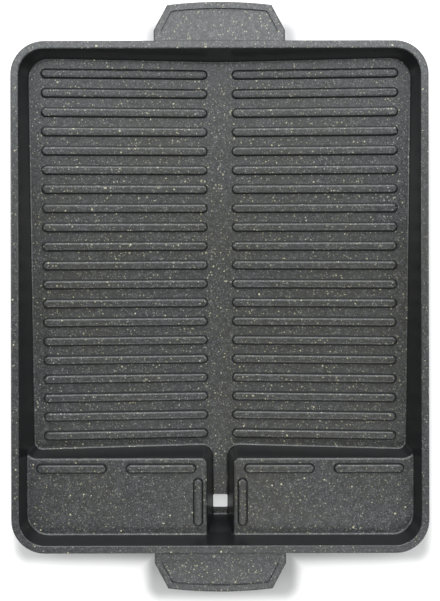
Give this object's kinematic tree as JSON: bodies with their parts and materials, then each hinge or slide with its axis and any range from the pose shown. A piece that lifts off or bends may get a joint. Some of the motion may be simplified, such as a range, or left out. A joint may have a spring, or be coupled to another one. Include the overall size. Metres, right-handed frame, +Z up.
{
  "type": "griddle plate",
  "caption": "Rectangular cast griddle plate with a rim, sloped ribbed floor, raised shelves, a drain channel and hole, and lug handles.",
  "frame": {"origin": "centre of the footprint, on the surface that the feet stand on", "axes": "+Z up, +Y along the plate's length from the drain end to the rear handle, +X across to the right"},
  "size_m": [0.31, 0.439, 0.048],
  "materials": {
    "coated_casting": "dark grey non-stick coating with fine pale speckles, low sheen"
  },
  "bodies": {
    "root": {"pan_body": "coated_casting", "left_rib_bank": "coated_casting", "right_rib_bank": "coated_casting", "left_shelf_ribs": "coated_casting", "right_shelf_ribs": "coated_casting", "rear_handle": "coated_casting", "front_handle": "coated_casting", "drain_lip": "coated_casting", "rear_left_foot": "coated_casting", "rear_right_foot": "coated_casting", "front_left_foot": "coated_casting", "front_right_foot": "coated_casting"}
  },
  "joints": []
}
